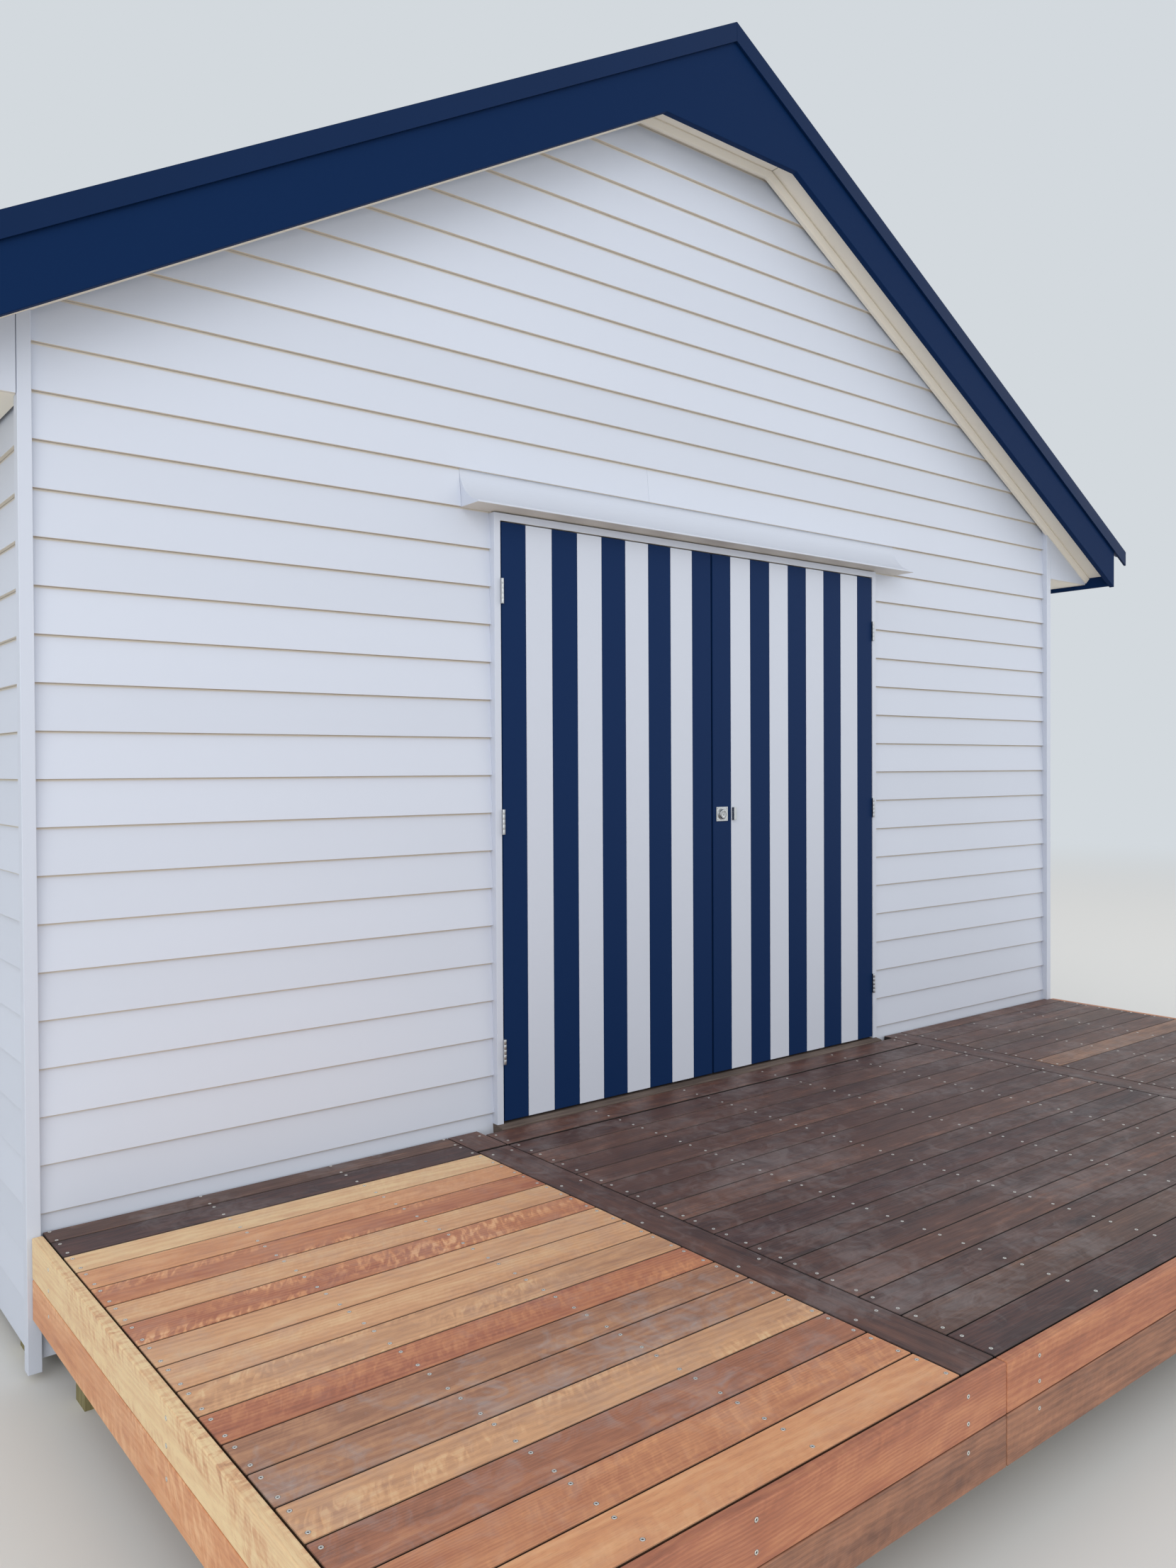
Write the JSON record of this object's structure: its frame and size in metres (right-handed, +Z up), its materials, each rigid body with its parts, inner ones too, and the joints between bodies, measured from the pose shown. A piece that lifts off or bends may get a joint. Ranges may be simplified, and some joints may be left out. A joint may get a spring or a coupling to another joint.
{
  "type": "boat shed",
  "caption": "White weatherboard boat shed with a navy gable roof, striped double doors on hinges that swing outward, and a raised hardwood deck in front.",
  "frame": {"origin": "on the ground, under the middle of the box round the shed and its deck", "axes": "+Z up, +X to the right seen from the front, -Y out of the doors"},
  "size_m": [6.94, 9.741, 5.1882],
  "materials": {
    "white_weatherboard": "satin paint",
    "white_trim": "satin paint",
    "navy_trim": "satin paint",
    "navy_door": "satin paint",
    "white_lining": "satin paint",
    "roof_steel": "semi-gloss paint",
    "wall_lining": "bare",
    "floor_board": "bare",
    "rough_timber": "rough sawn",
    "stump_timber": "weathered",
    "sill_timber": "weathered",
    "deck_hardwood": "weathered oiled hardwood",
    "hinge_steel": "brushed"
  },
  "bodies": {
    "shed": {"back_wall": "wall_lining", "back_weatherboards": "white_weatherboard", "barge_boards": "navy_trim", "barge_caps": "roof_steel", "corner_stops": "white_trim", "deck_bearers": "rough_timber", "deck_boards": "deck_hardwood", "deck_front_fascias": "deck_hardwood", "deck_joists": "rough_timber", "deck_ledger": "rough_timber", "deck_long_boards": "deck_hardwood", "deck_posts": "stump_timber", "deck_side_fascias": "deck_hardwood", "door_frame": "white_trim", "door_hood": "white_weatherboard", "door_sill": "sill_timber", "eave_fascias": "navy_trim", "eave_returns": "white_trim", "eave_soffits": "white_lining", "floor_bearers": "rough_timber", "floor_joists": "rough_timber", "floor_sheet": "floor_board", "frame_hinge_leaves": "hinge_steel", "front_wall_left": "wall_lining", "front_wall_over_doors": "wall_lining", "front_wall_right": "wall_lining", "front_weatherboards": "white_weatherboard", "gable_soffits": "white_lining", "hinge_pins": "hinge_steel", "left_roof_sheet": "roof_steel", "left_wall": "wall_lining", "left_weatherboards": "white_weatherboard", "rafters": "rough_timber", "ridge_board": "rough_timber", "ridge_cap": "roof_steel", "right_roof_sheet": "roof_steel", "right_wall": "wall_lining", "right_weatherboards": "white_weatherboard", "roof_battens": "rough_timber", "shed_stumps": "stump_timber"},
    "left_leaf": {"left_door": "navy_door", "left_door_hinge_leaves": "hinge_steel"},
    "right_leaf": {"right_door": "navy_door", "right_door_hinge_leaves": "hinge_steel", "door_lock": "hinge_steel"}
  },
  "joints": [
    {"name": "left_door_swing", "type": "hinge", "parent": "shed", "child": "left_leaf", "pos_m": [-1.1505, -2.574, 1.67], "axis": [0, 0, -1], "range_deg": [0, 165]},
    {"name": "right_door_swing", "type": "hinge", "parent": "shed", "child": "right_leaf", "pos_m": [1.1845, -2.574, 1.67], "axis": [0, 0, 1], "range_deg": [0, 165]}
  ]
}
